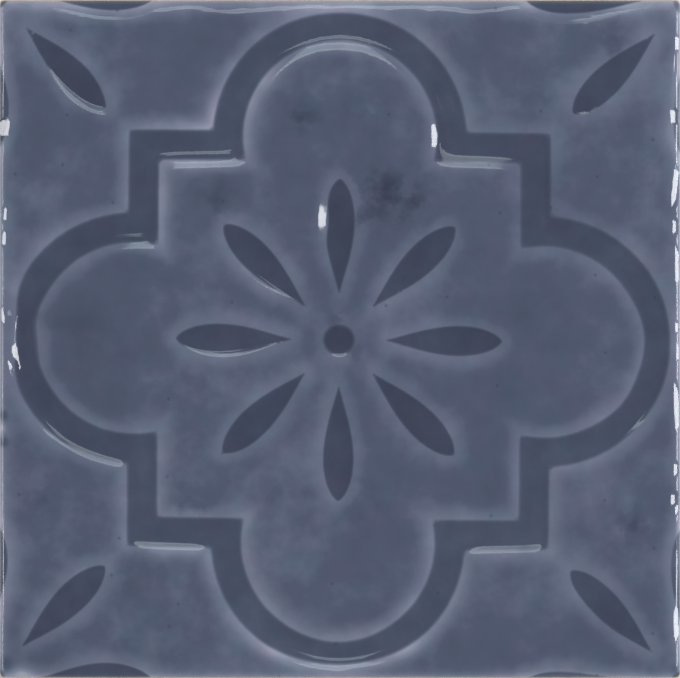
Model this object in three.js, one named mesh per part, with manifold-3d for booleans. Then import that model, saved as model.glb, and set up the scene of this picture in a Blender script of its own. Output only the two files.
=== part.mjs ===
// A square relief wall tile of glazed earthenware, modelled as it is made: a pressed clay body, a white slip
// coat over its face, and a thick glaze that levels over the relief, thin on every arris and deep in every
// recess. The tile lies on its back: +Z is the face's normal, +Y the pattern's top, origin under its centre.
// All three layers are one offset family of the same relief, so each seats on the one below.
import * as THREE from "three";
import { mergeVertices } from "three/addons/utils/BufferGeometryUtils.js";
import Module from "manifold-3d";

// Driving dimensions, in millimetres.
const TILE_SIDE = 150;
const CLAY_HEIGHT = 8.1; // back to the flat of the clay face
const SLIP = 0.2; // thickness of the white slip coat
const SEAM = 0.02; // hairline left between two bonded layers, so that their solids don't overlap
const GLAZE_HEIGHT = 9; // back to the flat of the glazed face

// The cushion rim, seen in section: a ledge left by the press, then a quarter round up to the face.
const LEDGE_Z = 5.4;
const LEDGE_FALL = 0.2; // the ledge slopes outward, so that glaze sheds
const CLAY_RIM_SET_IN = 0.8; // how far the rounded clay rim stands inside the side
const CLAY_ROLL = 1.2;
const GLAZE_RIM_SET_IN = 0.1;
const GLAZE_ROLL_WIDTH = 2.2;
const GLAZE_ROLL_HEIGHT = 2.3;
const GLAZE_ROLL_EXPONENT = 1.9; // under 2 flattens the round, where the glaze runs thin over the arris
const COAT_EDGE_Z = 5.6; // lower edge of both coats, just above the ledge
const CORNER_RADIUS = 1.2;
const FOOT_CHAMFER = 0.6;

// The relief, measured on the clay face.
const PATTERN_TURN = THREE.MathUtils.degToRad(-0.3); // the pattern lies slightly turned on the blank
const PATTERN_LEAN = THREE.MathUtils.degToRad(-0.27); // its level lines a little more than its upright ones
const PATTERN_SHIFT = [-0.25, -0.2]; // and a little off its centre
const PATTERN_SQUASH = 0.993; // how much less it measures up the tile than across, as the clay shrank
const FRAME_HALF = 43.1; // centre of the groove, on the straight sides of the barbed quatrefoil
const LOBE_CENTRE = 45.2;
const LOBE_RADIUS = 24.55; // centre of the groove, round a lobe
const GROOVE_HALF_WIDTH = 3.05;
const GROOVE_DEPTH = 1.3;
const GROOVE_DRAFT = 0.4; // how far each wall leans in over the depth
const ROSETTE_PITCH = new THREE.Vector2(153.2, 152.4); // the corner rosettes continue on the next tiles
const PETALS = 8;
const PETAL_START = 10.6; // from the rosette's centre to the petal's pointed end
const PETAL_LENGTH = 25.1;
const PETAL_HALF_WIDTH = 3.2;
const PETAL_DEPTH = 1.2;
const PETAL_DRAFT = 0.7;
const PETAL_POINT = 1.2; // power of the outline at the pointed end, over 1 for a hollow taper
const PETAL_BLUNT = 0.7; // and at the far end
const POINT_ROUNDING = 0.2; // how much of each power is lost per millimetre, as the outline grows
const BLUNT_ROUNDING = 0.1;
const DOT_RADIUS = 3.15;
const DOT_DEPTH = 1;
const DOT_DRAFT = 0.5;

// How the glaze levels over a recess. Its surface leaves the land at the shoulder, bends down in a wide round
// as far as the turn, and comes level again in a tight fillet at the foot. Each is a distance into the recess
// from the clay's arris, so that a negative one lies out on the land.
const GROOVE_SINK = { depth: 0.9, shoulder: -3, turn: 1.1, foot: 2.1 };
const PETAL_SINK = { depth: 0.35, shoulder: -2.4, turn: -0.5, foot: 0.5 };
const RIM_PETAL_SINK = { depth: 0.9, shoulder: -1.7, turn: 0.5, foot: 1.4 }; // drains over the rim
const DOT_SINK = { depth: 0.3, shoulder: -1.9, turn: -0.4, foot: 0.7 };

// The keyed back that takes the adhesive: parallel troughs inside a plain border.
const KEYS = 8;
const KEY_PITCH = 16;
const KEY_HALF_WIDTH = 5.2;
const KEY_LENGTH = 122;
const KEY_DEPTH = 0.8;
const KEY_DRAFT = 0.5;

// How finely curves are cut.
const CORNER_STEPS = 2;
const ROLL_STEPS = 4;
const LOBE_STEPS = 12;
const PETAL_STEPS = 6;
const ROUND_STEPS = 2;
const FILLET_STEPS = 2;
const DOT_SEGMENTS = 20;
const KEY_END_STEPS = 3;
const CLEAR = 1.5; // how far a cutter stands out of what it cuts
const WELD = 1e-5; // corners nearer than this are one

const wasm = await Module();
wasm.setup();

// Solids

function toSolid(geometry) {
  const bare = geometry.clone();
  bare.deleteAttribute("normal");
  bare.deleteAttribute("uv");
  const merged = mergeVertices(bare, WELD);
  return new wasm.Manifold(
    new wasm.Mesh({
      numProp: 3,
      vertProperties: new Float32Array(merged.attributes.position.array),
      triVerts: new Uint32Array(merged.index.array),
    }),
  );
}

function toGeometry(solid) {
  const { numProp, vertProperties, triVerts } = solid.getMesh();
  const geometry = new THREE.BufferGeometry();
  const packed = new THREE.InterleavedBuffer(vertProperties, numProp);
  geometry.setAttribute("position", new THREE.InterleavedBufferAttribute(packed, 3, 0));
  geometry.setIndex(new THREE.BufferAttribute(triVerts, 1));
  const flat = geometry.toNonIndexed();
  flat.computeVertexNormals();
  return flat;
}

// Joins outlines of equal point count, each at its own height, with a wall between one and the next.
// Outlines run counter-clockwise. Open lofts rise and are capped; closed ones run round to the first outline.
function loft(levels, closed = false) {
  const count = levels[0].outline.length;
  const positions = levels.flatMap(({ outline, z }) => outline.flatMap((p) => [p.x, p.y, z]));
  const index = [];
  const walls = closed ? levels.length : levels.length - 1;
  for (let level = 0; level < walls; level++) {
    const low = level * count;
    const high = ((level + 1) % levels.length) * count;
    for (let i = 0; i < count; i++) {
      const next = (i + 1) % count;
      index.push(low + i, low + next, high + next, low + i, high + next, high + i);
    }
  }
  if (!closed) {
    const top = (levels.length - 1) * count;
    for (const [a, b, c] of THREE.ShapeUtils.triangulateShape(levels[0].outline, []))
      index.push(c, b, a);
    for (const [a, b, c] of THREE.ShapeUtils.triangulateShape(levels.at(-1).outline, []))
      index.push(top + a, top + b, top + c);
  }
  const geometry = new THREE.BufferGeometry();
  geometry.setAttribute("position", new THREE.Float32BufferAttribute(positions, 3));
  geometry.setIndex(index);
  return geometry;
}

// A sunk surface from the land inward, as distances into the recess and heights: two parabolas that meet at
// the turn with one slope.
function sinkSection({ depth, shoulder, turn, foot }) {
  const round = turn - shoulder;
  const fillet = foot - turn;
  const drop = depth / (round + fillet);
  const section = [];
  for (let i = 0; i <= ROUND_STEPS; i++) {
    const run = (round * i) / ROUND_STEPS;
    section.push({ inward: shoulder + run, z: GLAZE_HEIGHT - (drop * run ** 2) / round });
  }
  for (let i = FILLET_STEPS - 1; i >= 0; i--) {
    const run = (fillet * i) / FILLET_STEPS;
    section.push({ inward: foot - run, z: GLAZE_HEIGHT - depth + (drop * run ** 2) / fillet });
  }
  return section;
}

// Outlines

function roundedSquare(half, radius) {
  const shape = new THREE.Shape();
  for (let corner = 0; corner < 4; corner++) {
    const from = (corner * Math.PI) / 2;
    const middle = from + Math.PI / 4;
    const reach = (half - radius) * Math.SQRT2;
    const [x, y] = [reach * Math.cos(middle), reach * Math.sin(middle)];
    shape.absarc(x, y, radius, from, from + Math.PI / 2, false);
  }
  return shape.getPoints(CORNER_STEPS);
}

// A square with a round lobe on each side. Growing it moves every side and lobe out by the same distance.
function quatrefoil(grow) {
  const half = FRAME_HALF + grow;
  const radius = LOBE_RADIUS + grow;
  const spread = Math.acos((half - LOBE_CENTRE) / radius); // from the lobe's axis to where it meets the side
  const shape = new THREE.Shape();
  for (let lobe = 0; lobe < 4; lobe++) {
    const axis = (lobe * Math.PI) / 2;
    const corner = axis + Math.PI / 4;
    const [x, y] = [LOBE_CENTRE * Math.cos(axis), LOBE_CENTRE * Math.sin(axis)];
    shape.absarc(x, y, radius, axis - spread, axis + spread, false);
    shape.lineTo(half * Math.SQRT2 * Math.cos(corner), half * Math.SQRT2 * Math.sin(corner));
  }
  return shape.getPoints(LOBE_STEPS);
}

// A petal along +X from the rosette's centre. Shrunk, it keeps its shape about its widest place. Grown, it
// gains the same all round and its ends get blunter.
function petal(grow) {
  const out = Math.max(grow, 0);
  const scale = 1 + Math.min(grow, 0) / PETAL_HALF_WIDTH;
  const point = PETAL_POINT - out * POINT_ROUNDING;
  const blunt = PETAL_BLUNT - out * BLUNT_ROUNDING;
  const widest = point / (point + blunt);
  const peak = widest ** point * (1 - widest) ** blunt;
  const length = PETAL_LENGTH * scale + 2 * out;
  const start = PETAL_START - out + PETAL_LENGTH * (1 - scale) * widest;
  const side = (i) => {
    const share = (1 - Math.cos((Math.PI * i) / PETAL_STEPS)) / 2;
    const width = ((PETAL_HALF_WIDTH * scale + out) * share ** point * (1 - share) ** blunt) / peak;
    return new THREE.Vector2(start + length * share, width);
  };
  const outline = [];
  for (let i = 0; i <= PETAL_STEPS; i++) outline.push(side(PETAL_STEPS - i));
  for (let i = 1; i < PETAL_STEPS; i++) outline.push(new THREE.Vector2(side(i).x, -side(i).y));
  return outline;
}

// A trough with round ends along +X.
function keyOutline(grow) {
  const radius = KEY_HALF_WIDTH + grow;
  const reach = KEY_LENGTH / 2 - KEY_HALF_WIDTH;
  const shape = new THREE.Shape();
  shape.absarc(reach, 0, radius, -Math.PI / 2, Math.PI / 2, false);
  shape.absarc(-reach, 0, radius, Math.PI / 2, (3 * Math.PI) / 2, false);
  return shape.getPoints(KEY_END_STEPS);
}

// Where the pattern's parts lie

// The rosettes' centres: the tile's own, and one off each corner that it shares with its neighbours.
const ROSETTES = [
  [0, 0],
  [1, 1],
  [-1, 1],
  [-1, -1],
  [1, -1],
].map(([x, y]) => new THREE.Vector2(x, y).multiply(ROSETTE_PITCH).divideScalar(2));

// Every petal that lies on the tile or is cut by its edge.
function petalPlaces() {
  const places = [];
  const middle = PETAL_START + PETAL_LENGTH / 2;
  for (const centre of ROSETTES)
    for (let i = 0; i < PETALS; i++) {
      const angle = (i * 2 * Math.PI) / PETALS;
      const x = Math.abs(centre.x + middle * Math.cos(angle));
      const y = Math.abs(centre.y + middle * Math.sin(angle));
      if (x > ROSETTE_PITCH.x / 2 + SEAM || y > ROSETTE_PITCH.y / 2 + SEAM) continue;
      const place = new THREE.Matrix4()
        .makeTranslation(centre.x, centre.y, 0)
        .multiply(new THREE.Matrix4().makeRotationZ(angle));
      places.push({ place, atRim: Math.max(x, y) > TILE_SIDE / 2 });
    }
  return places;
}

// Cuts the whole pattern: one groove, and its petal and dot shapes at all their places.
function cutPattern(blank, groove, petalShape, rimPetalShape, dotShape) {
  const onBlank = new THREE.Matrix4()
    .makeTranslation(...PATTERN_SHIFT, 0)
    .multiply(new THREE.Matrix4().makeRotationZ(PATTERN_TURN))
    .multiply(new THREE.Matrix4().makeShear(PATTERN_LEAN, 0, 0, 0, 0, 0))
    .multiply(new THREE.Matrix4().makeScale(1, PATTERN_SQUASH, 1));
  const tools = [toSolid(groove.applyMatrix4(onBlank))];
  for (const { place, atRim } of petalPlaces()) {
    const shape = (atRim ? rimPetalShape : petalShape).clone();
    tools.push(toSolid(shape.applyMatrix4(place).applyMatrix4(onBlank)));
  }
  for (const { x, y } of ROSETTES)
    tools.push(toSolid(dotShape.clone().translate(x, y, 0).applyMatrix4(onBlank)));
  return tools.reduce((rest, tool) => rest.subtract(tool), blank);
}

// The rounded rim from a lower edge up to the face, as outlines for a loft.
function rimLevels({ half, face, rollWidth, rollHeight, exponent, lowerZ, radius }) {
  const levels = [{ outline: roundedSquare(half, radius), z: lowerZ }];
  for (let i = 0; i <= ROLL_STEPS; i++) {
    const angle = (i * Math.PI) / 2 / ROLL_STEPS;
    const out = rollWidth * Math.cos(angle) ** (2 / exponent);
    const up = rollHeight * Math.sin(angle) ** (2 / exponent);
    const outline = roundedSquare(half - rollWidth + out, radius);
    levels.push({ outline, z: face - rollHeight + up });
  }
  return levels;
}

// The pressed relief and every surface parallel to it

const clayRim = (skin, lowerZ) =>
  rimLevels({
    half: TILE_SIDE / 2 - CLAY_RIM_SET_IN + skin,
    face: CLAY_HEIGHT + skin,
    rollWidth: CLAY_ROLL + skin,
    rollHeight: CLAY_ROLL + skin,
    exponent: 2,
    lowerZ,
    radius: CORNER_RADIUS + skin,
  });

// Cuts the pattern as the press leaves it, under a coat of the given thickness.
function cutCrisp(blank, skin) {
  const face = CLAY_HEIGHT + skin;
  const groove = (grow, z) => ({ outline: quatrefoil(grow), z });
  const top = GROOVE_HALF_WIDTH - skin;
  const floor = top - GROOVE_DRAFT;
  const lean = (GROOVE_DRAFT * CLEAR) / GROOVE_DEPTH;
  const ring = loft(
    [
      groove(-top - lean, face + CLEAR),
      groove(-floor, face - GROOVE_DEPTH),
      groove(floor, face - GROOVE_DEPTH),
      groove(top + lean, face + CLEAR),
    ],
    true,
  );
  const petalLean = (PETAL_DRAFT * CLEAR) / PETAL_DEPTH;
  const pocket = loft([
    { outline: petal(-skin - PETAL_DRAFT), z: face - PETAL_DEPTH },
    { outline: petal(-skin), z: face },
    { outline: petal(-skin + petalLean), z: face + CLEAR },
  ]);
  const dot = new THREE.LatheGeometry(
    [
      new THREE.Vector2(0, -DOT_DEPTH),
      new THREE.Vector2(DOT_RADIUS - skin - DOT_DRAFT, -DOT_DEPTH),
      new THREE.Vector2(DOT_RADIUS - skin, 0),
      new THREE.Vector2(DOT_RADIUS - skin, CLEAR),
      new THREE.Vector2(0, CLEAR),
    ],
    DOT_SEGMENTS,
  )
    .rotateX(Math.PI / 2)
    .translate(0, 0, face);
  return cutPattern(blank, ring, pocket, pocket, dot);
}

// The clay's relief grown by a skin, down past the lower edge of the coats: what a coat lies on.
const coreUnder = (skin) => cutCrisp(toSolid(loft(clayRim(skin, COAT_EDGE_Z - CLEAR))), skin);

// The pieces

function biscuitBody() {
  const side = TILE_SIDE / 2;
  const blank = loft([
    { outline: roundedSquare(side - FOOT_CHAMFER, CORNER_RADIUS), z: 0 },
    { outline: roundedSquare(side, CORNER_RADIUS), z: FOOT_CHAMFER },
    { outline: roundedSquare(side, CORNER_RADIUS), z: LEDGE_Z - LEDGE_FALL / 2 },
    ...clayRim(0, LEDGE_Z + LEDGE_FALL / 2),
  ]);
  const lean = (KEY_DRAFT * CLEAR) / KEY_DEPTH;
  const key = loft([
    { outline: keyOutline(lean), z: -CLEAR },
    { outline: keyOutline(-KEY_DRAFT), z: KEY_DEPTH },
  ]);
  let body = cutCrisp(toSolid(blank), 0);
  for (let i = 0; i < KEYS; i++) {
    const y = (i - (KEYS - 1) / 2) * KEY_PITCH;
    body = body.subtract(toSolid(key.clone().translate(0, y, 0)));
  }
  return body;
}

function engobeLayer() {
  const skin = SEAM + SLIP;
  return cutCrisp(toSolid(loft(clayRim(skin, COAT_EDGE_Z))), skin).subtract(coreUnder(SEAM));
}

// The glaze: its outer surface is the levelled one, its inner surface follows the slip.
function glazeCoat() {
  const blank = loft(
    rimLevels({
      half: TILE_SIDE / 2 - GLAZE_RIM_SET_IN,
      face: GLAZE_HEIGHT,
      rollWidth: GLAZE_ROLL_WIDTH,
      rollHeight: GLAZE_ROLL_HEIGHT,
      exponent: GLAZE_ROLL_EXPONENT,
      lowerZ: COAT_EDGE_Z,
      radius: CORNER_RADIUS,
    }),
  );
  const above = GLAZE_HEIGHT + CLEAR;

  // The groove sinks from both sides to a level bed.
  const bank = sinkSection(GROOVE_SINK).map(({ inward, z }) => ({ grow: GROOVE_HALF_WIDTH - inward, z }));
  const ring = loft(
    [
      { grow: -bank[0].grow, z: above },
      ...bank.map(({ grow, z }) => ({ grow: -grow, z })),
      ...bank.toReversed(),
      { grow: bank[0].grow, z: above },
    ].map(({ grow, z }) => ({ outline: quatrefoil(grow), z })),
    true,
  );

  const hollow = (section) => {
    const levels = sinkSection(section).map(({ inward, z }) => ({ outline: petal(-inward), z }));
    return loft([...levels.toReversed(), { outline: levels[0].outline, z: above }]);
  };

  const dimple = sinkSection(DOT_SINK).map(({ inward, z }) => new THREE.Vector2(DOT_RADIUS - inward, z));
  dimple.unshift(new THREE.Vector2(0, above), new THREE.Vector2(dimple[0].x, above));
  dimple.push(new THREE.Vector2(0, dimple.at(-1).y));
  const dot = new THREE.LatheGeometry(dimple.toReversed(), DOT_SEGMENTS).rotateX(Math.PI / 2);

  const levelled = cutPattern(toSolid(blank), ring, hollow(PETAL_SINK), hollow(RIM_PETAL_SINK), dot);
  return levelled.subtract(coreUnder(SEAM + SLIP + SEAM));
}

function piece(name, solid, finish) {
  const mesh = new THREE.Mesh(toGeometry(solid), new THREE.MeshStandardMaterial(finish));
  mesh.name = name;
  return mesh;
}

const tile = new THREE.Group();
tile.name = "relief_wall_tile";
tile.add(
  piece("biscuit_body", biscuitBody(), { color: 0xd9cdc3, roughness: 0.9, metalness: 0 }),
  piece("engobe_layer", engobeLayer(), { color: 0xeae6e2, roughness: 0.7, metalness: 0 }),
  piece("glaze_coat", glazeCoat(), { color: 0x545c6c, roughness: 0.08, metalness: 0 }),
);

export default tile;
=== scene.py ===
"""A square relief wall tile under a thick slate-blue glaze, lying on a pale studio floor.

The glaze is one closed mesh. Its outer skin is a lattice that is finer where the surface bends more. Each
of its points takes its height from formulas: the pressed relief as distances from its arrises, and the way
that glaze levels over them. The mesh carries those distances and the coat's thickness, and the glaze's colour
comes from them.
"""

import math

import bpy
import numpy as np
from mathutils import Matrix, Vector

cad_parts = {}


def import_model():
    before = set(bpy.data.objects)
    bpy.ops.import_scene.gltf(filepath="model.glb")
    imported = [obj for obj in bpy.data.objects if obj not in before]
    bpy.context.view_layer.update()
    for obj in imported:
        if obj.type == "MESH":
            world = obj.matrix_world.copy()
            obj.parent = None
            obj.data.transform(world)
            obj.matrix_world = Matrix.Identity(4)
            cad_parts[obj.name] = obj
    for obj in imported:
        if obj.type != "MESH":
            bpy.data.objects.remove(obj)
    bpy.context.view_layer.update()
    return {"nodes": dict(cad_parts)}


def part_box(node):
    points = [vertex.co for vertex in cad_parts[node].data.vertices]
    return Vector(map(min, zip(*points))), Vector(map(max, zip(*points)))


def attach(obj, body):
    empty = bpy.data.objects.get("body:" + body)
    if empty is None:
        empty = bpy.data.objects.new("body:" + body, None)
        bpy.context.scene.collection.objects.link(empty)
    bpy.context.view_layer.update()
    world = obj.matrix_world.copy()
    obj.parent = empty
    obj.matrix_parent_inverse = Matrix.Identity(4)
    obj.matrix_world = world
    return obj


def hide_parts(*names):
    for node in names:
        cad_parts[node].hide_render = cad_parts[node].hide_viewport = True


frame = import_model()

MM = 0.001  # lengths below are in millimetres, as in the CAD, and meshes are scaled by this

# From the frame
GLAZE_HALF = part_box("glaze_coat")[1].x / MM
FACE_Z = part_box("glaze_coat")[1].z / MM
COAT_EDGE_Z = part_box("glaze_coat")[0].z / MM
SLIP_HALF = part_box("engobe_layer")[1].x / MM
SLIP_FACE_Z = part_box("engobe_layer")[1].z / MM
GLAZE_HALF_Y = GLAZE_HALF - 0.35  # the glaze stops short of the clay's top and bottom edges

# The relief, as in the CAD source
PATTERN_SHIFT = (-0.25, -0.2)
PATTERN_TURN = math.radians(-0.3)
PATTERN_LEAN = math.radians(-0.27)
PATTERN_SQUASH = 0.993  # the pattern is this much shorter up the tile than across it
FRAME_HALF = 43.1
LOBE_CENTRE = 45.2
LOBE_RADIUS = 24.55
GROOVE_HALF_WIDTH = 3.05
ROSETTE_PITCH = (153.2, 152.4)
PETALS = 8
PETAL_START = 10.6
PETAL_LENGTH = 25.1
PETAL_HALF_WIDTH = 3.2
PETAL_POINT = 1.2
PETAL_BLUNT = 0.7
DOT_RADIUS = 3.15
GROOVE_DEPTH, GROOVE_DRAFT = 1.3, 0.4
PETAL_DEPTH, PETAL_DRAFT = 1.2, 0.7
DOT_DEPTH, DOT_DRAFT = 1.0, 0.5
SLIP_SKIN = 0.22  # how far the slip's surface lies from the clay's
SEAM = 0.02
THINNEST = 0.06  # the least that both coats together stand over the clay

# How the glaze levels over an arris: its depth, then four distances into the recess from the clay's arris,
# where the surface leaves the land, gets its steepest slope, leaves that slope and comes level again. A sixth
# number is how far it rises behind that.
GROOVE_SINK = (0.82, -2.8, 0.35, 0.35, 1.75)
PETAL_SINK = (0.16, -1.6, 0.1, 0.1, 0.7)
RIM_PETAL_SINK = (0.95, -2.4, -1.1, -1.1, 3.4)
DOT_SINK = (0.22, -1.5, -0.2, -0.2, 0.5)
TIGHT_SINK = (0.44, -2.4, -0.35, -0.35, 1.7)
TOP_SINK = (0.475, -2.6, 0.1, 0.1, 1.1)
GENTLE_SINK = (0.7, -2.2, 0.0, 0.0, 2.1)
BOTTOM_SINK = (1.3, -2.8, 1.1, 1.1, 2.9)
# These are steep enough to catch a low side lamp
STEEP_SINK = (0.82, -2.0, -1.45, -0.5, 0.2, 0.4)
STEEP_PETAL_SINK = (0.97, -1.75, -1.5, 0.25, 0.6)
STEEP_LEFT_SINK = (0.93, 0.5, 0.8, 2.0, 2.8)
LOW_LEFT_SINK = (1.02, -0.8, -0.4, 0.8, 1.5)
THIN_LEFT_SINK = (0.91, -0.4, 1.7, 1.7, 3.05)
RISE_WIDTH = 1.7  # how far behind the foot that rise goes on
LEAST_SINK = 0.1  # where the places below make it shallower, this share of it stays
CORNER_ROUND = 0.6  # how far the pattern's mitred corners are rounded in the clay
GLAZE_CORNER_ROUND = 2.2  # and in the glaze's surface

# Where it differs from place to place: x, y, radius, and the factor there, unless a line says otherwise
SINK_VARIES = (  # how deep it has sunk
    (-24, -3, 7.5, 2.5),
    (-18, 15, 6, 2.6),
    (-54, 53, 7, 2.4),
    (-67, 66, 6, 0.2),
    (-73.5, 46, 3.2, 0.2),
    (62, 61, 15, 0.2),
    (45, 21.5, 6, 0.15),
    (57, -27, 11, 0.2),
)
SHAPED_PLACES = (  # x, y, radius, radius where the shape has faded out, and the shape
    (30, 39.5, 8.5, 19, TIGHT_SINK),
    (0, 68, 10, 22, TOP_SINK),
    (-54, -26, 8, 13, GENTLE_SINK),
    (-37, -44, 7, 15, GENTLE_SINK),
    (31, -45, 7, 15, GENTLE_SINK),
    (0, -72, 15, 26, BOTTOM_SINK),
    (20.8, 44.8, 1.2, 5.6, STEEP_SINK),
    (-71.5, 1.6, 3.2, 6.0, THIN_LEFT_SINK),
    (-72.2, -4.4, 2.3, 4.0, STEEP_LEFT_SINK),
    (-73.6, -6.4, 1.5, 3.0, LOW_LEFT_SINK),
    (-4.0, 27.1, 0.4, 13.5, STEEP_PETAL_SINK),
)
FINE_PLACES = (  # where the lattice is fine in any case: x, y, radius
    (-25, -3, 11),
    (-16, 13, 9),
    (-54, 53, 11),
    (-54, -26, 12),
    (20.8, 44.8, 4.5),
    (-71.6, -2, 9),
    (-4, 27, 5),
)
BANK_DRIFTS = (  # x, y, radius, and how far a recess's dark edge has drawn back into it
    (64, 0, 7, 0.9),
    (60, -12, 6, 0.7),
    (-3.8, 26.5, 3.5, 1.1),
    (0, 67, 12, 0.3),
    (-73.5, 1, 8, 2.6),
    (-66, 0, 5, -1.3),
    (0, -73, 14, 0.9),
    (-74, -49, 8, -0.7),
    (-74, 53, 7, -0.5),
    (-53, -74, 8, -0.6),
    (52, -74, 8, 0.5),
    (52, 74, 8, 0.3),
    (-53, 53, 6, 0.5),
    (54, -59, 5, 0.4),
)
POOL_VARIES = (  # how dark the recesses are
    (74, 50, 9, 0.3),
    (74, -49, 9, 0.45),
    (-74, 53, 7, 0.6),
    (-74, -48, 8, 0.85),
    (52, -74, 9, 0.6),
    (50, -42, 26, 0.75),
    (-45, 40, 25, 1.15),
    (-33, 43, 9, 1.2),
    (74, 74, 4, 0.4),
)
HALO_VARIES = (  # how much thinner than on the land it is beside an arris
    (-38, 28, 9, 1.7),
    (-31, 38, 7, 1.5),
    (-36, -47, 7, 1.7),
    (0, -74, 10, 1.5),
    (-15, -70, 7, 1.9),
    (15, -70, 7, 1.9),
    (0, 64, 8, 1.4),
    (0, 0, 9, 0.5),
    (-19, 54, 8, 1.7),
    (-28, 48, 6, 1.5),
    (-36, 48, 8, 1.4),
    (38, 30, 12, 0.4),
    (52, 24, 14, 0.55),
    (66, 4, 14, 0.75),
    (42, 50, 12, 0.6),
    (22, -58, 9, 1.3),
    (-18, 14, 7, 1.4),
)
COAT_VARIES = (  # how thick it is
    (-54, 0, 13, 1.2),
    (-29, 31, 6, 1.2),
    (38, 14, 12, 1.12),
    (60, -36, 14, 0.84),
    (30, -55, 16, 0.92),
    (0, 52, 15, 1.14),
    (-3, 6, 9, 1.13),
    (-9, 6, 6, 1.12),
    (-31, -14, 11, 1.15),
    (-50, 55, 16, 1.05),
    (-59, -42, 14, 1.06),
    (-70, -74.5, 2.5, 0.3),
    (-74.3, -16.8, 1.0, 2.4),
    (-74.3, -22.8, 1.0, 2.4),
    (-74.5, -19.8, 1.2, 0.5),
    (-74.2, -71.8, 1.6, 2.2),
    (74.5, -73, 1.4, 1.8),
)
WISPS = (  # x, y, radius and strength of dark wisps laid into the glaze's colour as extra thickness
    # the first three make one dark patch up and to the right of the middle
    (9, 33, 5, 1.0),
    (15, 31, 5, 1.0),
    (7, 27, 3, 0.8),
    (-8.4, 48.7, 3, 0.9),
    (-26.5, 31, 4, 0.6),
    (6, 50, 5, 0.35),
    (64.5, -41.5, 3.5, 0.8),
    (-65, -35.5, 4, 0.5),
    (-0.5, 4.8, 2, 0.6),
    (3.5, -3, 1.5, 0.6),
    (-33, -37, 4, 0.5),
    (40, 55, 4, 0.4),
    (60, 66, 4, 0.5),
    (5, -36, 5, 0.35),
    (-45, -52, 5, 0.4),
)

# The rim
ROLL_WIDTH, ROLL_HEIGHT = 1.1, 2.0  # the glaze's quarter-ellipse
SLIP_ROLL = 1.42  # the slip's quarter-circle
RIM_RADIUS = 1.2  # of the tile's corners, seen from above
RIM_START = 71.0  # the lattice is square up to here, and turns down over the rim beyond
ROUND_SHARE = 0.6  # how far down the rim's section its corners have their full radius
TUCK, TUCK_SHARE = 0.3, 0.05  # how far the glaze's lower edge draws in, over the last share of the section
SLIP_SIDE_SHARE = 0.2  # from here to ROUND_SHARE a skin comes to lie sideways
SEAL_SHARE = 0.9  # from here down the glaze's underside closes on its outer surface
TOP_EASE = 2.6  # how far in from the top edge the glaze starts to fall
TOP_EASE_RATE = 0.19  # how fast it gets steeper there
TOP_EASE_WANDER, TOP_EASE_WAVE = 0.35, 17  # how far that line wanders, and over what length
TOP_EASE_CORNER = (-3, 1)  # how far past a corner's diagonal it starts, and is full

# Slanting flats on the roll, which catch a lamp: the side, the ends along y, how far in they start at each
# end, and the width
RIM_FLATS = (
    (1, 67.9, 62.6, 1.45, 1.45, 1.3),
    (1, 65.5, 49.5, 1.4, 2.2, 0.45),
    (1, 51.9, 46.4, 2.7, 2.7, 1.7),
    (1, 40.0, 28.0, 1.35, 2.5, 1.4),
    (1, 27.3, 22.4, 1.9, 1.9, 1.0),
    (1, 21.9, 10.8, 1.6, 1.2, 1.2),
    (1, 4.6, 0.6, 1.45, 1.45, 1.0),
    (1, 0.4, -5.8, 1.3, 1.3, 1.0),
    (1, -7.8, -22.0, 1.85, 1.3, 1.3),
    (1, -26.5, -30.9, 1.7, 1.7, 1.1),
    (1, -33.3, -37.4, 2.3, 2.3, 1.2),
    (1, -35.2, -39.4, 1.45, 1.45, 1.0),
    (1, -50.5, -61.0, 2.3, 1.9, 0.4),
    (1, -56.5, -68.0, 2.1, 1.45, 1.4),
    (-1, 73.9, 72.2, 1.1, 1.1, 0.9),
    (-1, 49.8, 43.0, 2.85, 1.9, 2.6),
    (-1, 29.9, 25.1, 1.9, 1.75, 1.1),
    (-1, 24.5, 19.7, 1.55, 1.4, 1.0),
    (-1, 7.9, 2.6, 1.3, 1.3, 1.0),
)
FLAT_SLOPES = {1: 0.58, -1: 0.67}  # by side
FLAT_COVER = 0.12  # least glaze over the slip under a flat
FLAT_TAPER = 0.3  # share of a flat's length at each end where it runs out
FLAT_ROUNDED = 0.3  # share of its width by which a flat starts later at its ends
FLAT_BLEND, FLAT_ROUND = 0.05, 0.12  # how softly a flat meets the roll, and comes level at its foot

# The coats
COVER = 0.2  # least glaze over the slip elsewhere
SOFT_FLOOR = 0.04  # how softly the glaze's surface stays over the clay
SOFT_CEILING = 0.01  # and under the CAD's face
RIM_COAT = (  # distance in from the edge, and the glaze's thickness there
    (0, 0.2), (0.3, 0.28), (0.65, 0.35), (0.9, 0.4), (1.1, 0.45),
    (1.3, 0.5), (1.8, 0.55), (2.4, 0.59), (4.0, 0.65),
)
TOP_COAT = (  # the same along the top edge
    (0, 0.16), (0.45, 0.23), (0.9, 0.28), (1.3, 0.3), (1.8, 0.33),
    (2.2, 0.4), (3.1, 0.5), (4.0, 0.56), (5.5, 0.65),
)
TOP_COAT_CORNER = (-4, 4)  # how far past a corner's diagonal it starts, and is full
SIDE_COAT = 0.36  # the glaze's thickness low on the tile's sides
SIDE_COAT_FALL = (1.5, 3.0)  # how far below the face that starts, and is full
SIDE_BAND = 0.5  # and only this near the edge
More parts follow.
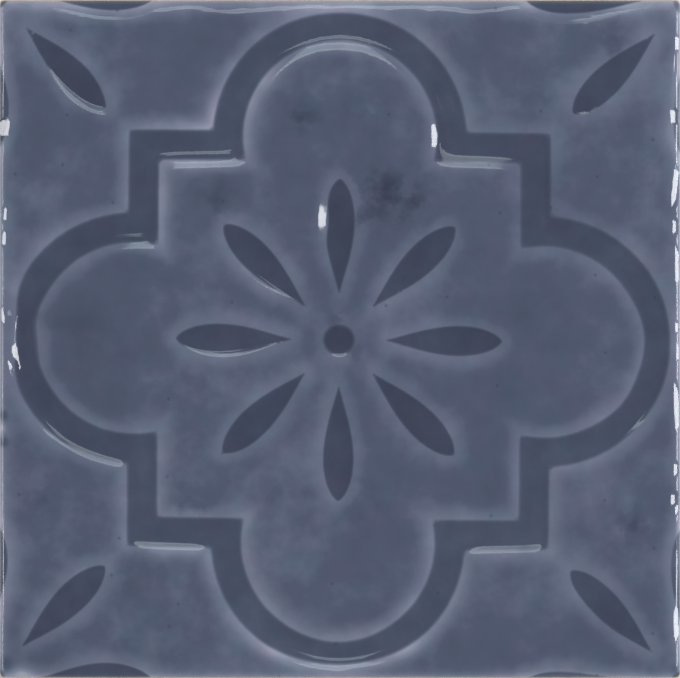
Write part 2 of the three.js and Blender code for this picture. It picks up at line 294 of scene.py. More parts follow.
# The glaze's slow swells: seed, wavelength and height
FACE_SWELLS = ((5, 14, 0.01), (6, 5, 0.0015))
RIM_SWELL = (7, 3.5, 0.012)
RIM_SWELL_SHARES = (0.15, 0.45)  # how far down the rim's section it starts, and is full
ROLL_SWELL = (8, 9, 0.04)
ROLL_SWELL_SHARES = (0.2, 0.4, 0.5, 0.7)  # where it starts, is full, starts to fade and is gone
SWELL_DROP = 0.035  # the swells' mean lies this far below the CAD's face
EDGE_WANDER = 0.22  # how far the coats' lower edges wander up the side
EDGE_WAVE, EDGE_WAVES = 9, 20  # over what length, and from how many waves
EDGE_MEAN, EDGE_MOST = 0.9, 2.2  # their mean height, and the most they reach, as shares of that
GLAZE_EDGE_SEED, SLIP_EDGE_SEED = 12, 13
SLIP_EDGE_SHARE = 0.4  # the slip's edge wanders by this share of the glaze's

# The lattice
STEP = 0.25
BLOCK = 4  # steps in a block
BLOCKS = 77  # blocks from the middle to the lower edge of the rim
STEPS = BLOCKS * BLOCK
LATTICE_HALF = STEPS * STEP
SIDE_POINTS = 2 * STEPS + 1  # along a whole side
BLOCK_MIDDLES = np.arange(2 * BLOCKS) - BLOCKS + 0.5  # in blocks from the lattice's middle
FINEST = 2  # a block's highest level, where its cells are one step wide
MEDIUM_BEND = 0.01  # a block whose surface bends more than this over a step is cut finer
FINE_BEND = 0.045  # and more than this, finest
LEAST_BEND = 0.003  # in FINE_PLACES, a block that bends more than this is cut finest
RIM_BLOCKS = 7  # blocks from the edge that are never coarse
ROLL_SPAN = (72.5, 76)  # the rolls of the left and right sides lie between these, and are cut finest


# Small helpers

TINY = 1e-9  # keeps a division from failing at 0


def linear(*srgb):
    """A colour written as sRGB, 0 to 255, as Blender's linear RGBA."""
    share = [c / 255 for c in srgb]
    return tuple(c / 12.92 if c <= 0.04045 else ((c + 0.055) / 1.055) ** 2.4 for c in share) + (1.0,)


def smooth_max(a, b, width):
    """The greater of two, rounded where they are close."""
    return 0.5 * (a + b + np.sqrt((a - b) ** 2 + width**2))


def smooth_min(a, b, width):
    """The lesser of two, rounded where they are close."""
    return -smooth_max(-a, -b, width)


def blend_min(a, b, width):
    """The lesser of two, rounded only where they differ by less than the width."""
    return np.minimum(a, b) - np.clip(width - np.abs(a - b), 0, None) ** 2 / (4 * width)


def square_radius(x, y):
    """Half the side of the square about the middle that a point lies on."""
    return np.maximum(np.abs(x), np.abs(y))


def ramp(x, low, high):
    """0 up to the low value, 1 from the high one, and an even bend between them."""
    share = np.clip((x - low) / (high - low), 0, 1)
    return share * share * (3 - 2 * share)


def waves(x, y, seed, length, count=14):
    """A smooth random surface between about -1 and 1, from plane waves near one wavelength."""
    rng = np.random.default_rng(seed)
    total = np.zeros_like(x)
    for _ in range(count):
        angle, phase = rng.uniform(0, 2 * math.pi, 2)
        rate = 2 * math.pi / (length * rng.uniform(0.7, 1.5))
        total += np.sin(rate * (x * math.cos(angle) + y * math.sin(angle)) + phase)
    return total / math.sqrt(count)


# The relief as distances from its arrises, positive inside a recess


def groove_inward(x, y, rounding):
    """Distance into the groove, whose middle line joins a square and four lobes."""
    outside = smooth_max(np.abs(x), np.abs(y), rounding) - FRAME_HALF
    for cx, cy in ((1, 0), (0, 1), (-1, 0), (0, -1)):
        lobe = np.hypot(x - cx * LOBE_CENTRE, y - cy * LOBE_CENTRE) - LOBE_RADIUS
        outside = smooth_min(outside, lobe, rounding)
    return GROOVE_HALF_WIDTH - np.abs(outside)


def petal_outline(steps=36):
    """Points along one side of a petal that lies along +u."""
    share = (1 - np.cos(np.linspace(0, math.pi, steps + 1))) / 2
    widest = PETAL_POINT / (PETAL_POINT + PETAL_BLUNT)
    peak = widest**PETAL_POINT * (1 - widest) ** PETAL_BLUNT
    width = PETAL_HALF_WIDTH * share**PETAL_POINT * (1 - share) ** PETAL_BLUNT / peak
    return PETAL_START + PETAL_LENGTH * share, width


def petal_inward(u, v):
    """Distance into a petal that lies along +u."""
    us, vs = petal_outline()
    v = np.abs(v)
    nearest = np.full_like(u, np.inf)
    for u0, v0, u1, v1 in zip(us[:-1], vs[:-1], us[1:], vs[1:]):
        du, dv = u1 - u0, v1 - v0
        along = np.clip(((u - u0) * du + (v - v0) * dv) / (du * du + dv * dv), 0, 1)
        nearest = np.minimum(nearest, (u - u0 - along * du) ** 2 + (v - v0 - along * dv) ** 2)
    inside = v < np.interp(u, us, vs, left=0, right=0)
    return np.where(inside, 1, -1) * np.sqrt(nearest)


def rosette_place(x, y):
    """A point seen from its nearest rosette and turned to that rosette's nearest petal."""
    across, up = ROSETTE_PITCH[0] / 2, ROSETTE_PITCH[1] / 2
    off_centre = np.abs(x) / across + np.abs(y) / up > 1
    px = np.where(off_centre, x - np.sign(x) * across, x)
    py = np.where(off_centre, y - np.sign(y) * up, y)
    turn = np.round(np.arctan2(py, px) * PETALS / (2 * math.pi)) * 2 * math.pi / PETALS
    u = px * np.cos(turn) + py * np.sin(turn)
    v = -px * np.sin(turn) + py * np.cos(turn)
    along_rim = off_centre & (np.abs(np.sin(2 * turn)) < 0.5)  # the petals that lie along x or y
    return u, v, along_rim


def sink(inward, depth, shoulder, turn, end, foot, rise=0.0):
    """How far levelled glaze lies below the land: a wide round, a straight slope and a fillet."""
    slope = depth / ((end - turn) + (turn - shoulder + foot - end) / 2)
    down = np.clip(inward - shoulder, 0, turn - shoulder) ** 2 / (turn - shoulder) / 2
    straight = np.clip(inward - turn, 0, end - turn)
    left = np.clip(foot - inward, 0, foot - end)
    level = (foot - end) / 2 - left**2 / (foot - end) / 2
    return slope * (down + straight + level) - rise * ramp(inward, foot, foot + RISE_WIDTH)


def varied(x, y, places):
    """A factor that is 1 except about the listed places."""
    total = np.ones_like(x)
    for cx, cy, radius, factor in places:
        total += (factor - 1) * np.exp(-((x - cx) ** 2 + (y - cy) ** 2) / radius**2)
    return total


def relief(x, y):
    """Depth of the levelled surface below the land, and the distances into groove, petals and dots."""
    depth_factor = np.clip(varied(x, y, SINK_VARIES), LEAST_SINK, None)
    at_x, at_y = x, y
    x, y = x - PATTERN_SHIFT[0], y - PATTERN_SHIFT[1]
    c, s = math.cos(-PATTERN_TURN), math.sin(-PATTERN_TURN)
    x, y = x * c - y * s, x * s + y * c
    y = (y - PATTERN_LEAN * x) / PATTERN_SQUASH
    groove = groove_inward(x, y, CORNER_ROUND)
    groove_round = groove_inward(x, y, GLAZE_CORNER_ROUND)
    u, v, along_rim = rosette_place(x, y)
    petal = petal_inward(u, v)
    dot = DOT_RADIUS - np.hypot(u, v)
    hollow = np.where(along_rim, sink(petal, *RIM_PETAL_SINK), sink(petal, *PETAL_SINK))
    sunk = np.maximum(sink(groove_round, *GROOVE_SINK), np.maximum(hollow, sink(dot, *DOT_SINK)))
    sunk = sunk * depth_factor
    nearest = np.maximum(groove_round, petal)
    for cx, cy, flat, faded, shape in SHAPED_PLACES:
        weight = 1 - ramp(np.hypot(at_x - cx, at_y - cy), flat, faded)
        shaped = sink(nearest, *shape)
        sunk += weight * (shaped - sunk)
    return sunk, groove, petal, dot


# The rim's section, from the land out and down


def rim_section(half, face, width, height, lower, steps=60):
    """A rim's points from RIM_START to its lower edge: share of the length, half-width and height."""
    angle = np.linspace(0, math.pi / 2, steps)
    h = np.concatenate([[RIM_START], half - width + width * np.sin(angle), [half]])
    z = np.concatenate([[face], face - height + height * np.cos(angle), [lower]])
    length = np.concatenate([[0], np.cumsum(np.hypot(np.diff(h), np.diff(z)))])
    return length / length[-1], h, z


SLIP_SECTION = rim_section(SLIP_HALF, SLIP_FACE_Z, SLIP_ROLL, SLIP_ROLL, COAT_EDGE_Z)
GLAZE_SECTION = rim_section(GLAZE_HALF, FACE_Z, ROLL_WIDTH, ROLL_HEIGHT, COAT_EDGE_Z)


def rim_fall(x, y):
    """How much lower than its plain roll the glaze lies along the top edge."""
    wander = TOP_EASE_WANDER * waves(x, np.zeros_like(x), seed=11, length=TOP_EASE_WAVE)
    out = y - GLAZE_HALF + TOP_EASE + wander
    return 0.5 * TOP_EASE_RATE * np.clip(out, 0, None) ** 2 * ramp(y - np.abs(x), *TOP_EASE_CORNER)


def with_flats(x, y, z):
    """The roll's heights, or lower ones where its slanting flats are cut into it."""
    for side, start, end, first, last, width in RIM_FLATS:
        along = np.clip((y - start) / (end - start), 0, 1)
        full = ramp(along, 0, FLAT_TAPER) * (1 - ramp(along, 1 - FLAT_TAPER, 1))
        starts = first + (last - first) * along - FLAT_ROUNDED * width * (1 - full)
        out = np.clip(starts + FLAT_BLEND / FLAT_SLOPES[side] - GLAZE_HALF + side * x, 0, None)
        down = FLAT_SLOPES[side] * blend_min(out, width * full, FLAT_ROUND)
        z = blend_min(z, FACE_Z + FLAT_BLEND - down, FLAT_BLEND)
    return z


def lower_edge(x, y, seed):
    """How far a coat's lower edge lies above the lowest it may reach."""
    return EDGE_WANDER * np.clip(EDGE_MEAN + waves(x, y, seed, EDGE_WAVE, EDGE_WAVES), 0, EDGE_MOST)


def rim_share(u, v):
    """How far down the rim's section a lattice point lies: 0 on the land, 1 at the lower edge."""
    return np.clip((square_radius(u, v) - RIM_START) / (LATTICE_HALF - RIM_START), 0, 1)


def on_section(u, v, section):
    """A lattice point's share of the rim's section, and its half-width and height on it."""
    at, hs, zs = section
    share = rim_share(u, v)
    half = np.where(share > 0, np.interp(share, at, hs), square_radius(u, v))
    return share, half, np.interp(share, at, zs)


def on_ring(u, v, half, radius):
    """Moves a lattice point to its place on a rounded square of the given half-width and corner radius."""
    share = np.minimum(np.abs(u), np.abs(v)) / np.maximum(square_radius(u, v), TINY)
    straight = half - radius
    along = share * (straight + radius * math.pi / 4)
    angle = np.clip(along - straight, 0, None) / np.maximum(radius, TINY)
    far = np.where(angle > 0, straight + radius * np.cos(angle), half)
    near = np.where(angle > 0, straight + radius * np.sin(angle), along)
    wide = np.abs(u) >= np.abs(v)
    return np.sign(u) * np.where(wide, far, near), np.sign(v) * np.where(wide, near, far)


def pressed(groove, petal, dot, skin=0.0):
    """Depth of the crisp relief below its land, in the clay or in a skin over it."""
    recesses = (
        (groove, GROOVE_DEPTH, GROOVE_DRAFT),
        (petal, PETAL_DEPTH, PETAL_DRAFT),
        (dot, DOT_DEPTH, DOT_DRAFT),
    )
    depths = [depth * np.clip((inward - skin) / draft, 0, 1) for inward, depth, draft in recesses]
    return np.maximum.reduce(depths)


def clay_top(x, y, groove, petal, dot):
    """Height of the pressed clay."""
    land = np.interp(square_radius(x, y), SLIP_SECTION[1], SLIP_SECTION[2]) - SLIP_SKIN
    return land - pressed(groove, petal, dot)


def swell(x, y, seed, length, height):
    """One slow swell of the glaze's surface."""
    return height * waves(x, y, seed, length)


def swells(x, y, share):
    """How far the glaze's slow swells lift it."""
    grow, full, fading, gone = ROLL_SWELL_SHARES
    on_rim = ramp(share, *RIM_SWELL_SHARES)
    on_roll = ramp(share, grow, full) * (1 - ramp(share, fading, gone))
    on_face = sum(swell(x, y, *one) for one in FACE_SWELLS) - SWELL_DROP
    return on_face + swell(x, y, *RIM_SWELL) * on_rim + swell(x, y, *ROLL_SWELL) * on_roll


def plain_coat(x, y, z):
    """The glaze's thickness away from the relief."""
    inward = GLAZE_HALF - square_radius(x, y)
    at_top = ramp(y - np.abs(x), *TOP_COAT_CORNER)
    coat = np.interp(inward, *zip(*RIM_COAT))
    coat += at_top * (np.interp(inward, *zip(*TOP_COAT)) - coat)
    return coat + ramp(FACE_Z - z, *SIDE_COAT_FALL) * (inward < SIDE_BAND) * (SIDE_COAT - coat)


def sum_of(x, y, places):
    """A sum that is 0 except about the listed places."""
    return varied(x, y, [(*place, 1 + strength) for *place, strength in places]) - 1


def outer_skin(u, v):
    """The glaze's outer surface over lattice points, and what its colour depends on."""
    share, half, z = on_section(u, v, GLAZE_SECTION)
    half -= TUCK * np.clip((share - 1) / TUCK_SHARE + 1, 0, 1) ** 2
    x, y = on_ring(u, v, half, RIM_RADIUS * ramp(share, 0, ROUND_SHARE))
    sunk, groove, petal, dot = relief(x, y)
    fade = np.clip((z - COAT_EDGE_Z) / (FACE_Z - COAT_EDGE_Z), 0, 1)
    z = z - (sunk - swells(x, y, share) + rim_fall(x, y)) * fade
    z = with_flats(x, y, z + lower_edge(x, y, GLAZE_EDGE_SEED) * (1 - fade) ** 2)
    z = smooth_max(z, clay_top(x, y, groove, petal, dot) + THINNEST, SOFT_FLOOR)
    z = smooth_min(z, FACE_Z, SOFT_CEILING)

    drift = sum_of(x, y, BANK_DRIFTS)
    fields = {
        "groove_in": groove - drift,
        "petal_in": petal - drift,
        "dot_in": dot,
        "halo": varied(x, y, HALO_VARIES),
        "coat": plain_coat(x, y, z) * varied(x, y, COAT_VARIES),
        "pool": varied(x, y, POOL_VARIES),
        "wisp": sum_of(x, y, WISPS),
    }
    return x, y * GLAZE_HALF_Y / GLAZE_HALF, z, fields


def slip_skin(u, v, skin=0.0):
    """The slip's outer surface, or one lower by a skin."""
    share, half, z = on_section(u, v, SLIP_SECTION)
    half -= skin * ramp(share, SLIP_SIDE_SHARE, ROUND_SHARE)
    x, y = on_ring(u, v, half, RIM_RADIUS * ramp(share, 0, ROUND_SHARE))
    sunk, groove, petal, dot = relief(x, y)
    fade = np.clip((z - COAT_EDGE_Z) / (SLIP_FACE_Z - COAT_EDGE_Z), 0, 1)
    under_glaze = FACE_Z - sunk - rim_fall(x, y) - COVER - SLIP_FACE_Z
    z = z + np.minimum(-pressed(groove, petal, dot, SLIP_SKIN), under_glaze) * fade
    under_flats = with_flats(x, y, np.full_like(x, FACE_Z)) - FLAT_COVER
    z = np.minimum(z, under_flats) - skin * (1 - ramp(share, ROUND_SHARE, 1))
    return x, y, z + SLIP_EDGE_SHARE * lower_edge(x, y, SLIP_EDGE_SEED) * (1 - fade) ** 2, {}


def slip_underside(u, v):
    """The slip's underside, just above the clay."""
    return slip_skin(u, v, SLIP_SKIN - SEAM)


def inner_skin(u, v):
    """The glaze's underside, just above the slip."""
    x, y, z, _ = slip_skin(u, v, -SEAM)
    _, _, outer_z, fields = outer_skin(u, v)
    return x, y, z + ramp(rim_share(u, v), SEAL_SHARE, 1) * (outer_z - z), fields


def normals_of(skin, u, v, delta=0.04):
    """A skin's normals over lattice points, from points a little to each side of them."""
    east, west = np.stack(skin(u + delta, v)[:3]), np.stack(skin(u - delta, v)[:3])
    north, south = np.stack(skin(u, v + delta)[:3]), np.stack(skin(u, v - delta)[:3])
    normal = np.cross((east - west).T, (north - south).T)
    return normal / np.maximum(np.linalg.norm(normal, axis=1, keepdims=True), TINY)


# The lattice: blocks of one, four or sixteen cells


def block_reach():
    """How many blocks each block's middle lies from the lattice's, along x or y, whichever is more."""
    return np.maximum.outer(np.abs(BLOCK_MIDDLES), np.abs(BLOCK_MIDDLES))


def block_levels():
    """How finely each block is cut, from how much the surface bends in it."""
    line = np.arange(-STEPS, STEPS + 1) * STEP
    u, v = np.meshgrid(line, line, indexing="ij")
    z = outer_skin(u.ravel(), v.ravel())[2].reshape(u.shape)
    bend = np.zeros_like(z)
    bend[1:-1, :] = np.abs(z[2:, :] - 2 * z[1:-1, :] + z[:-2, :])
    bend[:, 1:-1] = np.maximum(bend[:, 1:-1], np.abs(z[:, 2:] - 2 * z[:, 1:-1] + z[:, :-2]))
    tall = bend[:-1, :-1].reshape(2 * BLOCKS, BLOCK, 2 * BLOCKS, BLOCK).max(axis=(1, 3))
    level = (tall > MEDIUM_BEND).astype(int) + (tall > FINE_BEND)
    middle = BLOCK_MIDDLES * BLOCK * STEP
    for x, y, radius in FINE_PLACES:
        close = np.hypot(middle[:, None] - x, middle[None, :] - y) < radius
        level[close & (tall > LEAST_BEND)] = FINEST
    on_rim = block_reach() > BLOCKS - RIM_BLOCKS
    level[on_rim] = np.maximum(level[on_rim], 1)
    across = np.abs(middle)
    level[(across > ROLL_SPAN[0]) & (across < ROLL_SPAN[1])] = FINEST
    for _ in range(FINEST):  # neighbours differ by one level at most
        near = level.copy()
        near[1:] = np.maximum(near[1:], level[:-1] - 1)
        near[:-1] = np.maximum(near[:-1], level[1:] - 1)
        near[:, 1:] = np.maximum(near[:, 1:], level[:, :-1] - 1)
        near[:, :-1] = np.maximum(near[:, :-1], level[:, 1:] - 1)
        level = near
    return level


def lattice_faces(level):
    """Faces over the lattice as lists of point numbers, with an extra point where a finer block adjoins."""
    padded = np.pad(level, 1, mode="edge")
    faces = []
    for i in range(2 * BLOCKS):
        for j in range(2 * BLOCKS):
            here = level[i, j]
            size = BLOCK >> here
            beside = (padded[i + 1, j], padded[i + 2, j + 1], padded[i + 1, j + 2], padded[i, j + 1])
            finer = [other > here for other in beside]
            for a in range(0, BLOCK, size):
                for b in range(0, BLOCK, size):
                    x, y = i * BLOCK + a, j * BLOCK + b
                    corners = [(x, y), (x + size, y), (x + size, y + size), (x, y + size)]
                    on_side = [b == 0, a + size == BLOCK, b + size == BLOCK, a == 0]
                    face = []
                    for k in range(4):
                        (x0, y0), (x1, y1) = corners[k], corners[(k + 1) % 4]
                        face.append(x0 * SIDE_POINTS + y0)
                        if on_side[k] and finer[k]:
                            face.append((x0 + x1) // 2 * SIDE_POINTS + (y0 + y1) // 2)
                    faces.append(face)
    return faces


def place_of(numbers):
    """Where the numbered points lie on the lattice."""
    return (numbers // SIDE_POINTS - STEPS) * STEP, (numbers % SIDE_POINTS - STEPS) * STEP


def used_points(faces):
    """The point numbers that the faces use, and the faces renumbered to them."""
    flat = np.concatenate([np.array(f) for f in faces])
    numbers, packed = np.unique(flat, return_inverse=True)
    ends = np.cumsum([len(f) for f in faces])
    return numbers, [list(f) for f in np.split(packed, ends[:-1])]


def border(stride):
    """Point numbers round the lattice's border, counter-clockwise, every so many steps."""
    last = SIDE_POINTS - 1
    run = range(0, last, stride)
    south = [k * SIDE_POINTS for k in run]
    east = [last * SIDE_POINTS + k for k in run]
    north = [(last - k) * SIDE_POINTS + last for k in run]
    west = [last - k for k in run]
    return south + east + north + west


def shell_mesh(name, top, bottom, level):
    """A closed shell between two skins: a fine lattice on top, one cell to a block below."""
    outer_numbers, outer = used_points(lattice_faces(level))
    inner_numbers, inner = used_points(lattice_faces(np.zeros_like(level)))
    u, v = place_of(outer_numbers)
    x, y, z, fields = top(u, v)
    iu, iv = place_of(inner_numbers)
    ix, iy, iz, inner_fields = bottom(iu, iv)

    shift = len(outer_numbers)
    faces = outer + [[shift + k for k in reversed(f)] for f in inner]
    outer_at = {n: k for k, n in enumerate(outer_numbers)}
    inner_at = {n: shift + k for k, n in enumerate(inner_numbers)}
    ring, coarse = border(1), border(BLOCK)
    for k, number in enumerate(coarse):
        run = [n for n in (ring * 2)[k * BLOCK : (k + 1) * BLOCK + 1] if n in outer_at]
        following = coarse[(k + 1) % len(coarse)]
        faces.append([inner_at[number], inner_at[following]] + [outer_at[n] for n in reversed(run)])

    points = np.column_stack([np.concatenate(p) for p in ((x, ix), (y, iy), (z, iz))]) * MM
    mesh = bpy.data.meshes.new(name)
    mesh.from_pydata(points.tolist(), [], faces)
    for field in fields:
        attribute = mesh.attributes.new(field, "FLOAT", "POINT")
        values = np.concatenate([fields[field], inner_fields[field]])
        attribute.data.foreach_set("value", values.astype(np.float32))
    mesh.shade_smooth()
    normals = np.concatenate([normals_of(top, u, v), -normals_of(bottom, iu, iv)])
    mesh.normals_split_custom_set_from_vertices(normals.tolist())
    print(name, len(points), "points,", sum(len(f) - 2 for f in faces), "triangles")
    return mesh


def piece(mesh, node, material):
    """Puts a mesh in the scene in place of a node of the frame."""
    obj = bpy.data.objects.new(mesh.name, mesh)
    bpy.context.collection.objects.link(obj)
    mesh.materials.append(material)
    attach(obj, "root")
    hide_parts(node)
    return obj


# Materials
HALO_SHARE = 0.38  # of the land's coat that is missing beside an arris
HALO_REACH = 3.1  # where it has fallen to a bit over a third
HALO_FALL = 2.4  # the higher, the flatter the halo is at its arris
HALO_SPAN = 6.5  # how far outside a recess its halo is followed
HALO_STOPS, POOL_STOPS = 14, 9  # how many colour stops follow the halo, and the pool
POOL_MARGIN = 0.2  # how far past its full edge the pool is followed
GROOVE_POOL, PETAL_POOL, DOT_POOL = 0.62, 0.75, 0.95  # more coat in a recess than over its arris
PETAL_HALO = DOT_HALO = 0.75  # of the groove's
GROOVE_POOL_EDGE = (-0.6, 0.5)  # where the pool starts and is full, as distances into the recess
PETAL_POOL_EDGE = (-0.35, 0.3)
DEEPEST = 1.6  # the thickness of the darkest colour
GLAZE_COLOURS = (  # by thickness in millimetres, as the glaze looks under white light
    (0.0, (195, 191, 185)),
    (0.12, (161, 164, 179)),
    (0.27, (124, 130, 150)),
    (0.42, (101, 109, 129)),
    (0.66, (77, 85, 106)),
    (0.95, (66, 74, 94)),
    (1.25, (59, 65, 85)),
    (1.6, (50, 56, 75)),
)

# Noise in the glaze: scale, detail, roughness, what is taken off it and what the rest is multiplied by
CLOUDS = ((38, 3, 0.5, 0.5, 0.8), (130, 3, 0.5, 0.5, 0.6), (420, 4, 0.6, 0.5, 0.22))
WISP_CURL = (240, 3, 0.5, 0.42, 4.0)
HUE_DRIFT = (170, 3, 0.5, 0.35, 2.4)
WISP_DEPTH = 0.55  # how much thicker the coat looks in a wisp
WARM_TINT, COOL_TINT = (1.06, 0.985, 1.01, 1), (0.93, 1.02, 1.0, 1)
SPECK_SCALE = 85.0  # cells to a metre, with at most one speck in each
SPECK_RADIUS = 0.045  # as a share of a cell
SPECKLESS = 0.72  # share of the cells that have none
SPECK_STRENGTH = 0.55
SPECK_COLOUR = (48, 50, 76)
GLAZE_ROUGHNESS, GLAZE_IOR = 0.085, 1.5
CLAY_GRAIN, CLAY_STAIN, SLIP_GRAIN = (2600, 4, 0.6), (60, 3), (1500, 3)  # noise scale, detail and roughness
# Colours by the value of that noise
CLAY_COLOURS = ((0.3, (196, 176, 160)), (0.5, (216, 199, 184)), (0.72, (230, 217, 204)))
SLIP_COLOURS = ((0.3, (222, 216, 208)), (0.7, (238, 234, 228)))


class Nodes:
    """A material's node tree, built by short calls."""

    def __init__(self, name):
        self.material = bpy.data.materials.new(name)
        self.material.use_nodes = True
        self.tree = self.material.node_tree
        self.shader = self.tree.nodes["Principled BSDF"]

    def add(self, kind, inputs=None, **settings):
        node = self.tree.nodes.new(kind)
        for key, value in settings.items():
            setattr(node, key, value)
        for key, value in (inputs or {}).items():
            self.put(value, node.inputs[key])
        return node

    def put(self, value, socket):
        if isinstance(value, bpy.types.NodeSocket):
            self.tree.links.new(value, socket)
        else:
            socket.default_value = value

    def math(self, operation, a, b=0.0, clamp=False):
        return self.add("ShaderNodeMath", {0: a, 1: b}, operation=operation, use_clamp=clamp).outputs[0]

    def chain(self, operation, first, *others):
        """Several values joined by one operation, in their order."""
        for other in others:
            first = self.math(operation, first, other)
        return first

    def attribute(self, name):
        return self.add("ShaderNodeAttribute", attribute_name=name).outputs["Fac"]

    def noise(self, scale, detail, roughness=0.5):
        where = self.add("ShaderNodeTexCoord").outputs["Object"]
        inputs = {"Vector": where, "Scale": scale, "Detail": detail, "Roughness": roughness}
        return self.add("ShaderNodeTexNoise", inputs).outputs["Fac"]

    def patches(self, scale, detail, roughness, least, gain, clamp=False):
        """Noise less a value, times a gain."""
        over = self.math("SUBTRACT", self.noise(scale, detail, roughness), least)
        return self.math("MULTIPLY", over, gain, clamp=clamp)

    def ramp(self, factor, stops):
        node = self.add("ShaderNodeValToRGB", {"Fac": factor})
        elements = node.color_ramp.elements
        while len(elements) < len(stops):
            elements.new(0.5)
        for element, (place, colour) in zip(elements, stops):
            element.position = place
            element.color = colour
        return node.outputs["Color"]

    def mix(self, factor, a, b, blend="MIX"):
        node = self.add("ShaderNodeMix", data_type="RGBA", blend_type=blend)
        self.put(factor, node.inputs["Factor"])
        self.put(a, node.inputs["A"])
        self.put(b, node.inputs["B"])
        return node.outputs["Result"]


def coat_by_distance(m, attribute, edge):
    """How far a point belongs to a recess's halo, and to its pool, from its distance into the recess."""
    low, high = -HALO_SPAN, edge[1] + POOL_MARGIN
    inward = m.attribute(attribute)
    share = m.math("DIVIDE", m.math("SUBTRACT", inward, low), high - low, clamp=True)
    outside = np.linspace(low, edge[0], HALO_STOPS)[:-1]
    stops = []
    for t in np.concatenate([outside, np.linspace(edge[0], high, POOL_STOPS)]):
        halo = math.exp(-((max(-t, 0) / HALO_REACH) ** HALO_FALL))
        stops.append(((t - low) / (high - low), (halo, ramp(t, *edge), 0, 1)))
    parts = m.add("ShaderNodeSeparateColor", {"Color": m.ramp(share, stops)})
    return parts.outputs["Red"], parts.outputs["Green"]


def glaze_depth(m):
    """How thick the glaze looks."""
    halo_varies, pool_varies = m.attribute("halo"), m.attribute("pool")
    depth = m.attribute("coat")
    pools = []
    for attribute, halo_share, pool, edge in (
        ("groove_in", HALO_SHARE, GROOVE_POOL, GROOVE_POOL_EDGE),
        ("petal_in", HALO_SHARE * PETAL_HALO, PETAL_POOL, PETAL_POOL_EDGE),
        ("dot_in", HALO_SHARE * DOT_HALO, DOT_POOL, GROOVE_POOL_EDGE),
    ):
        halo, inside = coat_by_distance(m, attribute, edge)
        missing = m.chain("MULTIPLY", halo, halo_varies, halo_share)
        depth = m.math("MULTIPLY", depth, m.math("SUBTRACT", 1.0, missing))
        pools.append(m.chain("MULTIPLY", inside, pool_varies, pool))
    wisp = m.chain("MULTIPLY", m.attribute("wisp"), m.patches(*WISP_CURL, clamp=True), WISP_DEPTH)
    clouds = [m.patches(*cloud) for cloud in CLOUDS]
    return m.math("MULTIPLY", m.chain("ADD", depth, *pools, wisp), m.chain("ADD", *clouds, 1.0))


def speckled(m, colour):
    """The colour with small dark specks over it."""
    where = m.add("ShaderNodeTexCoord").outputs["Object"]
    cells = m.add("ShaderNodeTexVoronoi", {"Vector": where, "Scale": SPECK_SCALE}, voronoi_dimensions="2D")
    near = m.math("SUBTRACT", 1.0, m.math("DIVIDE", cells.outputs["Distance"], SPECK_RADIUS), clamp=True)
    drawn = m.add("ShaderNodeSeparateColor", {"Color": cells.outputs["Color"]}).outputs["Red"]
    speck = m.chain("MULTIPLY", near, m.math("GREATER_THAN", drawn, SPECKLESS), SPECK_STRENGTH)
    return m.mix(speck, colour, linear(*SPECK_COLOUR))


def glaze_material():
    m = Nodes("slate_blue_glaze")
    share = m.math("DIVIDE", glaze_depth(m), DEEPEST, clamp=True)
    colour = m.ramp(share, [(t / DEEPEST, linear(*rgb)) for t, rgb in GLAZE_COLOURS])
    tint = m.mix(m.patches(*HUE_DRIFT, clamp=True), WARM_TINT, COOL_TINT)
    colour = m.mix(1.0, colour, tint, "MULTIPLY")
    m.put(speckled(m, colour), m.shader.inputs["Base Color"])
    m.put(GLAZE_ROUGHNESS, m.shader.inputs["Roughness"])
    m.put(GLAZE_IOR, m.shader.inputs["IOR"])
    return m.material


def dry_material(m, shade, colours, grain, roughness, strength, distance):
    """Gives a material its dry colours by shade, its roughness and its fine grain."""
    colour = m.ramp(shade, [(place, linear(*rgb)) for place, rgb in colours])
    m.put(colour, m.shader.inputs["Base Color"])
    m.put(roughness, m.shader.inputs["Roughness"])
    bump = m.add("ShaderNodeBump", {"Strength": strength, "Distance": distance, "Height": grain})
    m.put(bump.outputs["Normal"], m.shader.inputs["Normal"])
    return m.material


def clay_material():
    m = Nodes("biscuit_clay")
    grain, stain = m.noise(*CLAY_GRAIN), m.noise(*CLAY_STAIN)
    shade = m.math("ADD", m.math("MULTIPLY", grain, 0.5), m.math("MULTIPLY", stain, 0.5))
    return dry_material(m, shade, CLAY_COLOURS, grain, roughness=0.92, strength=0.35, distance=0.0002)


def slip_material():
    m = Nodes("white_slip")
    grain = m.noise(*SLIP_GRAIN)
    return dry_material(m, grain, SLIP_COLOURS, grain, roughness=0.8, strength=0.2, distance=0.0001)


# The studio, in metres
FLOOR_HALF = 12.0
FLOOR_COLOUR = (226, 225, 222)
ROOM_COLOURS = ((0.62, 0.62, 0.63, 1), (0.3, 0.31, 0.33, 1))  # level with the tile, and overhead
CAMERA_DISTANCE = 1.3
CAMERA_CROP = 0.15 * MM  # how far inside the glaze's left and right edges the picture ends
SENSOR = 36  # the camera's, in millimetres
PANES = (  # of the window over the top edge: name, ends along y, radiance
    ("near_pane", (0.125, 0.15), 4.3),
    ("middle_pane", (0.15, 0.242), 2.5),
    ("far_pane", (0.242, 0.27), 4.3),
)
PANE_ENDS = (-0.075, 0.065)  # along x
PANE_HEIGHT = 0.45
PANE_COLOUR = (0.84, 0.97, 1.0)
SIDE_LAMPS = (  # name, angle off the vertical, angle clockwise from the pattern's top, size, radiance
    ("east_window", 60.5, 87, (0.6, 0.75), 14),
    ("west_window", 67, 268, (0.9, 0.34), 12),
)
SIDE_LAMP_DISTANCE = 1.6


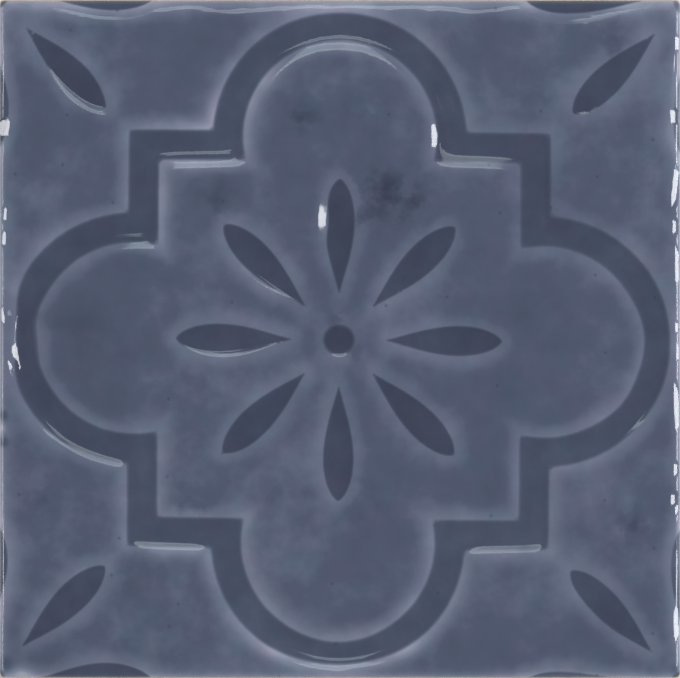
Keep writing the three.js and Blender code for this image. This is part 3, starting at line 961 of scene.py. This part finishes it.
def floor():
    """A matt floor that is clear when seen from below."""
    mesh = bpy.data.meshes.new("floor")
    h = FLOOR_HALF
    mesh.from_pydata([(-h, -h, 0), (h, -h, 0), (h, h, 0), (-h, h, 0)], [], [(0, 1, 2, 3)])
    m = Nodes("floor")
    m.put(linear(*FLOOR_COLOUR), m.shader.inputs["Base Color"])
    m.put(0.9, m.shader.inputs["Roughness"])
    see_through = m.add("ShaderNodeBsdfTransparent").outputs[0]
    behind = m.add("ShaderNodeNewGeometry").outputs["Backfacing"]
    both = m.add("ShaderNodeMixShader", {0: behind, 1: m.shader.outputs[0], 2: see_through})
    m.put(both.outputs[0], m.tree.nodes["Material Output"].inputs["Surface"])
    mesh.materials.append(m.material)
    plane = bpy.data.objects.new("floor", mesh)
    bpy.context.collection.objects.link(plane)


def world():
    """A pale room, darker overhead."""
    room = bpy.data.worlds.new("room")
    bpy.context.scene.world = room
    room.use_nodes = True
    nodes, links = room.node_tree.nodes, room.node_tree.links
    where = nodes.new("ShaderNodeTexCoord")
    split = nodes.new("ShaderNodeSeparateXYZ")
    links.new(where.outputs["Generated"], split.inputs[0])
    shade = nodes.new("ShaderNodeValToRGB")
    for element, colour in zip(shade.color_ramp.elements, ROOM_COLOURS):
        element.color = colour
    links.new(split.outputs["Z"], shade.inputs["Fac"])
    links.new(shade.outputs["Color"], nodes["Background"].inputs["Color"])


def area_light(name, size, radiance):
    """A soft light that the camera doesn't see."""
    data = bpy.data.lights.new(name, "AREA")
    data.shape = "RECTANGLE"
    data.size, data.size_y = size
    data.energy = radiance * math.pi * size[0] * size[1]
    lamp = bpy.data.objects.new(name, data)
    bpy.context.collection.objects.link(lamp)
    lamp.visible_camera = False
    return lamp


def side_lamp(name, off_vertical, clockwise, size, radiance):
    """A light that faces the tile from one side."""
    lamp = area_light(name, size, radiance)
    z, a = math.radians(off_vertical), math.radians(clockwise)
    away = Vector((math.sin(z) * math.sin(a), math.sin(z) * math.cos(a), math.cos(z)))
    lamp.location = away * SIDE_LAMP_DISTANCE
    lamp.rotation_mode = "QUATERNION"
    lamp.rotation_quaternion = away.to_track_quat("Z", "Y")


def pane(name, ys, radiance):
    """A level light above the top edge, which the glaze mirrors."""
    lamp = area_light(name, (PANE_ENDS[1] - PANE_ENDS[0], ys[1] - ys[0]), radiance)
    lamp.data.color = PANE_COLOUR
    lamp.location = (sum(PANE_ENDS) / 2, sum(ys) / 2, PANE_HEIGHT)


def camera():
    """Straight above the tile, as in the photo, whose width the tile fills."""
    data = bpy.data.cameras.new("camera")
    data.sensor_width = SENSOR
    data.lens = SENSOR * CAMERA_DISTANCE / (2 * (GLAZE_HALF * MM - CAMERA_CROP))
    data.clip_start, data.clip_end = 0.05, 50
    eye = bpy.data.objects.new("camera", data)
    bpy.context.collection.objects.link(eye)
    eye.location = (0, 0, FACE_Z * MM + CAMERA_DISTANCE)
    bpy.context.scene.camera = eye


camera()
levels = block_levels()
piece(shell_mesh("glaze", outer_skin, inner_skin, levels), "glaze_coat", glaze_material())
rim_only = ((levels > 0) & (block_reach() > BLOCKS - RIM_BLOCKS)).astype(int)
piece(shell_mesh("slip", slip_skin, slip_underside, rim_only), "engobe_layer", slip_material())

body = frame["nodes"]["biscuit_body"]
body.data.materials.clear()
body.data.materials.append(clay_material())

floor()
world()
for name, ys, radiance in PANES:
    pane(name, ys, radiance)
for name, off_vertical, clockwise, size, radiance in SIDE_LAMPS:
    side_lamp(name, off_vertical, clockwise, size, radiance)
bpy.context.scene.view_settings.view_transform = "Standard"
